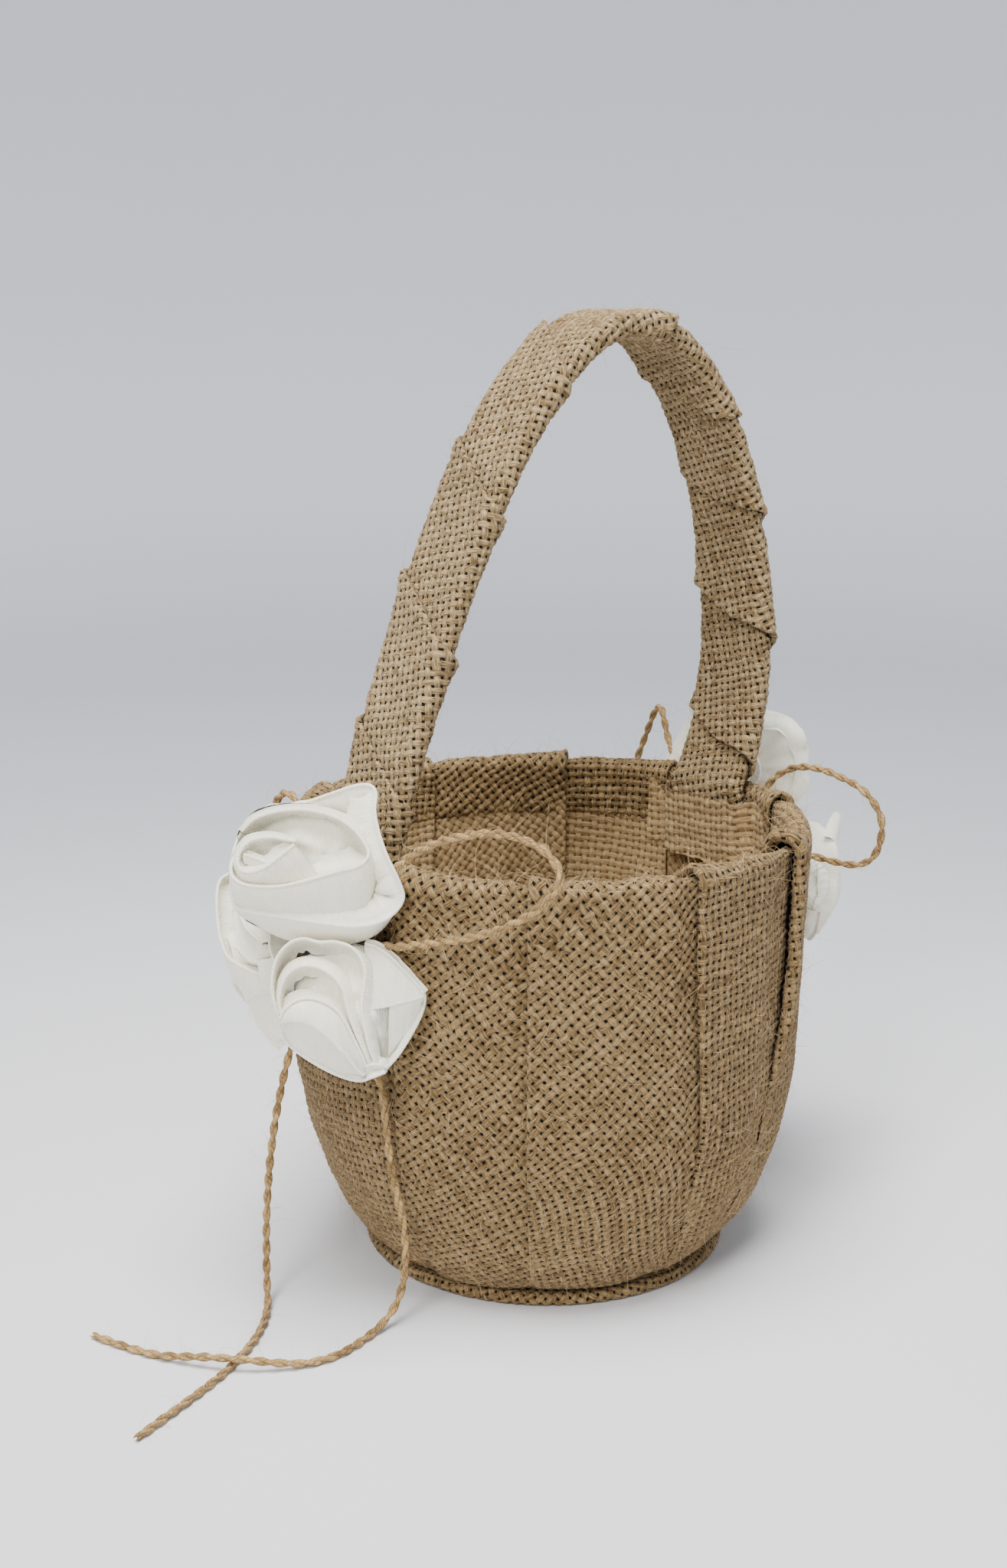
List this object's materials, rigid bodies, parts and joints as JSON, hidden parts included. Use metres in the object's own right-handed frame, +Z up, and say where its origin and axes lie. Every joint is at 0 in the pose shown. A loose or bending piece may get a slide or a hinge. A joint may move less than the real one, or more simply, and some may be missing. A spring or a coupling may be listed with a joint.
{
  "type": "flower girl basket",
  "caption": "Round burlap-covered flower girl basket on a wrapped disc, with an arched burlap-wound handle, twine bows and folded satin roses at both handle feet.",
  "frame": {"origin": "centre of the underside of the base disc, on the basket's axis", "axes": "+Z up along the basket's axis; the handle stands in the XZ plane with its feet at -X and +X, and its top leans towards +X; +Y is across the handle"},
  "size_m": [0.2455, 0.1511, 0.2525],
  "materials": {
    "burlap_outer": "coarse plain-weave jute burlap, natural tan",
    "burlap_inner": "coarse plain-weave jute burlap, natural tan",
    "burlap_handle": "coarse plain-weave jute burlap, wound strip with folded edges",
    "burlap_base": "coarse plain-weave jute burlap stretched over a board",
    "card": "raw moulded pulp and chipboard",
    "satin": "ivory satin ribbon with a soft sheen",
    "felt": "off-white craft felt",
    "twine": "two-ply twisted jute twine with loose fibres",
    "glue": "set hot-melt glue"
  },
  "bodies": {
    "root": {"basket_form": "card", "outer_cover": "burlap_outer", "lining": "burlap_inner", "base_board": "card", "base_cover": "burlap_base", "base_glue": "glue", "handle_core": "card", "handle_wrap": "burlap_handle", "left_handle_glue": "glue", "right_handle_glue": "glue", "left_handle_patch": "burlap_inner", "right_handle_patch": "burlap_inner", "left_rose_top": "satin", "left_rose_low": "satin", "left_rose_side": "satin", "right_rose_top": "satin", "right_rose_low": "satin", "right_rose_side": "satin", "left_felt_top": "felt", "left_felt_low": "felt", "left_felt_side": "felt", "right_felt_top": "felt", "right_felt_low": "felt", "right_felt_side": "felt", "left_flower_glue": "glue", "right_flower_glue": "glue", "left_bow_knot": "twine", "right_bow_knot": "twine", "left_bow_loop_front": "twine", "left_bow_loop_back": "twine", "right_bow_loop_front": "twine", "right_bow_loop_back": "twine", "left_bow_tail_long": "twine", "left_bow_tail_short": "twine", "right_bow_tail_long": "twine", "right_bow_tail_short": "twine"}
  },
  "joints": []
}
